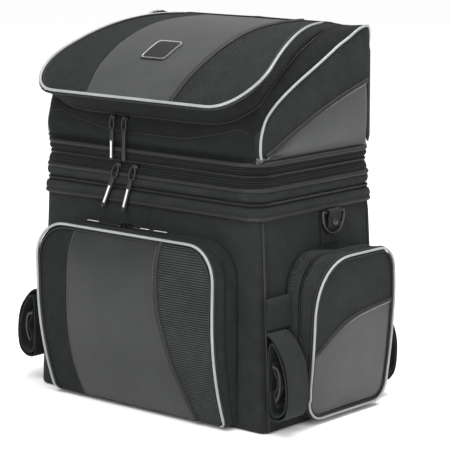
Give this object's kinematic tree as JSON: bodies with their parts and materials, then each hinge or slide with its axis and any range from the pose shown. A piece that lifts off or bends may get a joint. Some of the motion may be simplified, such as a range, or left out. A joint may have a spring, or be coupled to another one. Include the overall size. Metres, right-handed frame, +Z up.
{
  "type": "motorcycle tail bag",
  "caption": "Tall expandable motorcycle tail bag with a visor-topped upper case, zipped front and side pockets, D-rings and rolled mounting straps.",
  "frame": {"origin": "centre of the base pad's underside, on the surface that the bag stands on", "axes": "+Z up, -Y the front with the front pocket, +X the bag's right side as seen from the front"},
  "size_m": [0.485, 0.3327, 0.5143],
  "materials": {
    "ballistic_nylon": "matt black ballistic nylon with smooth coated panels",
    "reflective_piping": "smooth light grey reflective piping",
    "grip_rubber": "matt black",
    "stiffener_board": "matt dark grey",
    "lining_cloth": "matt thin cloth",
    "gusset_cloth": "matt folded cloth",
    "strap_webbing": "ribbed webbing",
    "dark_zinc": "dark plated zinc, satin",
    "pull_cord": "matt black moulded, a light stripe on each",
    "buckle_plastic": "black moulded, fine texture"
  },
  "bodies": {
    "bag": {"bag_shell": "ballistic_nylon", "base_pad": "grip_rubber", "base_board": "stiffener_board", "wall_board": "stiffener_board", "lining": "lining_cloth", "sissy_bar_sleeve": "ballistic_nylon", "front_pocket_body": "ballistic_nylon", "left_pocket_body": "ballistic_nylon", "left_pocket_bib": "ballistic_nylon", "right_pocket_body": "ballistic_nylon", "right_pocket_bib": "ballistic_nylon", "strap_anchor_front_left": "strap_webbing", "strap_anchor_front_right": "strap_webbing", "strap_anchor_rear_left": "strap_webbing", "strap_anchor_rear_right": "strap_webbing", "left_ring_tab": "strap_webbing", "right_ring_tab": "strap_webbing", "left_rivet": "dark_zinc", "right_rivet": "dark_zinc", "expansion_gusset": "gusset_cloth"},
    "expansion": {"expansion_band": "ballistic_nylon"},
    "top_case": {"case_band": "ballistic_nylon", "case_floor": "stiffener_board", "case_shell": "ballistic_nylon"},
    "visor": {"visor_lid": "ballistic_nylon", "visor_piping": "reflective_piping", "badge": "dark_zinc"},
    "front_flap": {"front_pocket_flap": "ballistic_nylon", "front_pocket_piping": "reflective_piping"},
    "visor_zip_left": {"visor_slider_left": "dark_zinc"},
    "visor_tab_left": {"visor_pull_left": "pull_cord"},
    "visor_zip_right": {"visor_slider_right": "dark_zinc"},
    "visor_tab_right": {"visor_pull_right": "pull_cord"},
    "main_zip_left": {"main_slider_left": "dark_zinc"},
    "main_tab_left": {"main_pull_left": "pull_cord"},
    "main_zip_right": {"main_slider_right": "dark_zinc"},
    "main_tab_right": {"main_pull_right": "pull_cord"},
    "pocket_zip_left": {"pocket_slider_left": "dark_zinc"},
    "pocket_tab_left": {"pocket_pull_left": "pull_cord"},
    "pocket_zip_right": {"pocket_slider_right": "dark_zinc"},
    "pocket_tab_right": {"pocket_pull_right": "pull_cord"},
    "left_side_flap": {"left_pocket_flap": "ballistic_nylon"},
    "left_side_zip": {"left_side_slider": "dark_zinc"},
    "left_side_tab": {"left_side_pull": "pull_cord"},
    "left_ring": {"left_d_ring": "dark_zinc"},
    "front_strap_left": {"strap_roll_front_left": "strap_webbing", "strap_buckle_front_left": "buckle_plastic"},
    "rear_strap_left": {"strap_roll_rear_left": "strap_webbing", "strap_buckle_rear_left": "buckle_plastic"},
    "right_side_flap": {"right_pocket_flap": "ballistic_nylon"},
    "right_side_zip": {"right_side_slider": "dark_zinc"},
    "right_side_tab": {"right_side_pull": "pull_cord"},
    "right_ring": {"right_d_ring": "dark_zinc"},
    "front_strap_right": {"strap_roll_front_right": "strap_webbing", "strap_buckle_front_right": "buckle_plastic"},
    "rear_strap_right": {"strap_roll_rear_right": "strap_webbing", "strap_buckle_rear_right": "buckle_plastic"},
    "expansion_zip": {"expansion_slider": "dark_zinc"},
    "expansion_tab": {"expansion_pull": "pull_cord"}
  },
  "joints": [
    {"name": "expand", "type": "slide", "parent": "bag", "child": "expansion", "axis": [0, 0, 1], "range_m": [0, 0.06], "deforming": ["expansion_gusset"]},
    {"name": "open_main", "type": "hinge", "parent": "expansion", "child": "top_case", "pos_m": [0, 0.1245, 0.33], "axis": [-1, 0, 0], "range_deg": [0, 90]},
    {"name": "open_visor", "type": "hinge", "parent": "top_case", "child": "visor", "pos_m": [0, 0.1065, 0.5105], "axis": [-1, 0, 0], "range_deg": [0, 95]},
    {"name": "open_front_pocket", "type": "hinge", "parent": "bag", "child": "front_flap", "pos_m": [0, -0.13021, 0.008], "axis": [1, 0, 0], "range_deg": [0, 35]},
    {"name": "slide_visor_zip_left", "type": "slide", "parent": "top_case", "child": "visor_zip_left", "axis": [-1, 0, 0], "range_m": [0, 0.095]},
    {"name": "swing_visor_tab_left", "type": "hinge", "parent": "visor_zip_left", "child": "visor_tab_left", "pos_m": [-0.054, -0.1262, 0.389], "axis": [-1, 0, 0], "range_deg": [0, 100]},
    {"name": "slide_visor_zip_right", "type": "slide", "parent": "top_case", "child": "visor_zip_right", "axis": [1, 0, 0], "range_m": [0, 0.095]},
    {"name": "swing_visor_tab_right", "type": "hinge", "parent": "visor_zip_right", "child": "visor_tab_right", "pos_m": [-0.032, -0.1262, 0.389], "axis": [-1, 0, 0], "range_deg": [0, 100]},
    {"name": "slide_main_zip_left", "type": "slide", "parent": "expansion", "child": "main_zip_left", "axis": [-1, 0, 0], "range_m": [0, 0.095]},
    {"name": "swing_main_tab_left", "type": "hinge", "parent": "main_zip_left", "child": "main_tab_left", "pos_m": [-0.043, -0.1273, 0.3265], "axis": [-1, 0, 0], "range_deg": [0, 100]},
    {"name": "slide_main_zip_right", "type": "slide", "parent": "expansion", "child": "main_zip_right", "axis": [1, 0, 0], "range_m": [0, 0.095]},
    {"name": "swing_main_tab_right", "type": "hinge", "parent": "main_zip_right", "child": "main_tab_right", "pos_m": [-0.013, -0.1273, 0.3265], "axis": [-1, 0, 0], "range_deg": [0, 100]},
    {"name": "slide_pocket_zip_left", "type": "slide", "parent": "bag", "child": "pocket_zip_left", "axis": [-1, 0, 0], "range_m": [0, 0.035]},
    {"name": "swing_pocket_tab_left", "type": "hinge", "parent": "pocket_zip_left", "child": "pocket_tab_left", "pos_m": [-0.0333, -0.1335, 0.2449], "axis": [0, 1, 0], "range_deg": [0, 90]},
    {"name": "slide_pocket_zip_right", "type": "slide", "parent": "bag", "child": "pocket_zip_right", "axis": [1, 0, 0], "range_m": [0, 0.035]},
    {"name": "swing_pocket_tab_right", "type": "hinge", "parent": "pocket_zip_right", "child": "pocket_tab_right", "pos_m": [-0.0107, -0.1335, 0.2449], "axis": [0, -1, 0], "range_deg": [0, 90]},
    {"name": "open_left_pocket", "type": "hinge", "parent": "bag", "child": "left_side_flap", "pos_m": [-0.24169, 0, 0.1], "axis": [0, -1, 0], "range_deg": [0, 80]},
    {"name": "slide_left_side_zip", "type": "slide", "parent": "bag", "child": "left_side_zip", "axis": [0, 0, 1], "range_m": [0, 0.045]},
    {"name": "swing_left_side_tab", "type": "hinge", "parent": "left_side_zip", "child": "left_side_tab", "pos_m": [-0.21741, -0.0663, 0.119], "axis": [0, 1, 0], "range_deg": [0, 80]},
    {"name": "swing_left_ring", "type": "hinge", "parent": "bag", "child": "left_ring", "pos_m": [-0.19708, 0.027, 0.27], "axis": [0, 1, 0], "range_deg": [0, 115]},
    {"name": "swing_front_strap_left", "type": "hinge", "parent": "bag", "child": "front_strap_left", "pos_m": [-0.20475, -0.0935, 0.135], "axis": [0, 1, 0], "range_deg": [0, 60]},
    {"name": "swing_rear_strap_left", "type": "hinge", "parent": "bag", "child": "rear_strap_left", "pos_m": [-0.164, 0.123, 0.135], "axis": [1, 0, 0], "range_deg": [0, 60]},
    {"name": "open_right_pocket", "type": "hinge", "parent": "bag", "child": "right_side_flap", "pos_m": [0.24169, 0, 0.1], "axis": [0, 1, 0], "range_deg": [0, 80]},
    {"name": "slide_right_side_zip", "type": "slide", "parent": "bag", "child": "right_side_zip", "axis": [0, 0, 1], "range_m": [0, 0.045]},
    {"name": "swing_right_side_tab", "type": "hinge", "parent": "right_side_zip", "child": "right_side_tab", "pos_m": [0.21741, -0.0663, 0.119], "axis": [0, -1, 0], "range_deg": [0, 80]},
    {"name": "swing_right_ring", "type": "hinge", "parent": "bag", "child": "right_ring", "pos_m": [0.19708, 0.027, 0.27], "axis": [0, -1, 0], "range_deg": [0, 115]},
    {"name": "swing_front_strap_right", "type": "hinge", "parent": "bag", "child": "front_strap_right", "pos_m": [0.20475, -0.0935, 0.135], "axis": [0, -1, 0], "range_deg": [0, 60]},
    {"name": "swing_rear_strap_right", "type": "hinge", "parent": "bag", "child": "rear_strap_right", "pos_m": [0.164, 0.123, 0.135], "axis": [1, 0, 0], "range_deg": [0, 60]},
    {"name": "slide_expansion_zip", "type": "slide", "parent": "bag", "child": "expansion_zip", "axis": [1, 0, 0], "range_m": [0, 0.28]},
    {"name": "swing_expansion_tab", "type": "hinge", "parent": "expansion_zip", "child": "expansion_tab", "pos_m": [-0.14, 0.13, 0.2915], "axis": [1, 0, 0], "range_deg": [0, 100]}
  ]
}
